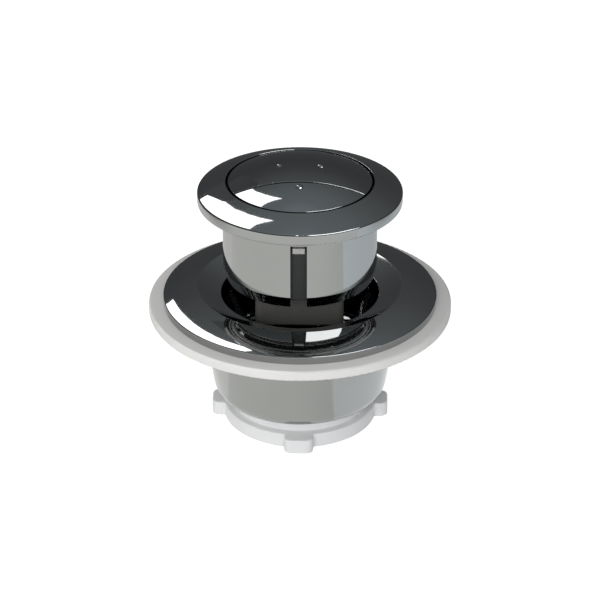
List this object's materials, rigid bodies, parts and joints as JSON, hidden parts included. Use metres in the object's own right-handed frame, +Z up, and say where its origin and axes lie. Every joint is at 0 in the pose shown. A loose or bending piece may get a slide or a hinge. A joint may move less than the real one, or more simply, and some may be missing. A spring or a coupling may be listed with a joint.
{
  "type": "push button cistern actuator",
  "caption": "Dual push button for a cistern lid: domed flange and slotted skirt on a hollow stem, escutcheon ring, flat washer, tapered clamp cup and lugged ring nut.",
  "frame": {"origin": "centre of the ring nut's underside, on the surface that the part stands on", "axes": "+Z up along the stem, -Y towards the half-flush button, +X to the right seen from the front"},
  "size_m": [0.1094, 0.1094, 0.0996],
  "materials": {
    "plated_housing": "polished plating on moulded plastic",
    "plated_buttons": "polished plating on moulded plastic",
    "plated_ring": "polished plating on moulded plastic",
    "plated_cup": "polished plating on moulded plastic",
    "plated_stem": "polished plating on moulded plastic",
    "white_seal": "soft matte",
    "white_plastic": "satin moulded",
    "dark_plastic": "matte moulded",
    "grey_plastic": "satin moulded",
    "spring_steel": "drawn wire",
    "screw_steel": "zinc plated"
  },
  "bodies": {
    "clamp_stack": {"clamp_cup": "plated_cup", "sealing_washer": "white_seal", "escutcheon_ring": "plated_ring"},
    "nut": {"ring_nut": "white_plastic"},
    "button_unit": {"button_housing": "plated_housing", "guide_insert": "dark_plastic", "catch_ring": "grey_plastic", "guide_block": "dark_plastic", "block_screw_left": "screw_steel", "block_screw_right": "screw_steel", "threaded_stem": "plated_stem", "rod_guide_bush": "white_plastic", "full_flush_spring": "spring_steel", "half_flush_spring": "spring_steel"},
    "full_button": {"full_flush_button": "plated_buttons", "full_flush_carrier": "white_plastic", "full_flush_rod": "white_plastic", "full_flush_rod_tip": "grey_plastic"},
    "half_button": {"half_flush_button": "plated_buttons", "half_flush_carrier": "white_plastic", "half_flush_rod": "white_plastic", "half_flush_rod_tip": "grey_plastic"}
  },
  "joints": [
    {"name": "nut_turn", "type": "hinge", "parent": "clamp_stack", "child": "nut", "pos_m": [0, 0, 0], "axis": [0, 0, 1], "range_deg": [0, 4033]},
    {"name": "unit_slide", "type": "slide", "parent": "clamp_stack", "child": "button_unit", "axis": [0, 0, -1], "range_m": [0, 0.0336]},
    {"name": "full_flush_press", "type": "slide", "parent": "button_unit", "child": "full_button", "axis": [0, 0, -1], "range_m": [0, 0.005], "stiffness_N_per_m": 300, "springref_m": -0.003, "deforming": ["full_flush_spring"]},
    {"name": "half_flush_press", "type": "slide", "parent": "button_unit", "child": "half_button", "axis": [0, 0, -1], "range_m": [0, 0.005], "stiffness_N_per_m": 300, "springref_m": -0.003, "deforming": ["half_flush_spring"]}
  ],
  "couplings": [
    {"joint": "nut_turn", "follows": "unit_slide", "rad_per_m": 2094.4}
  ]
}
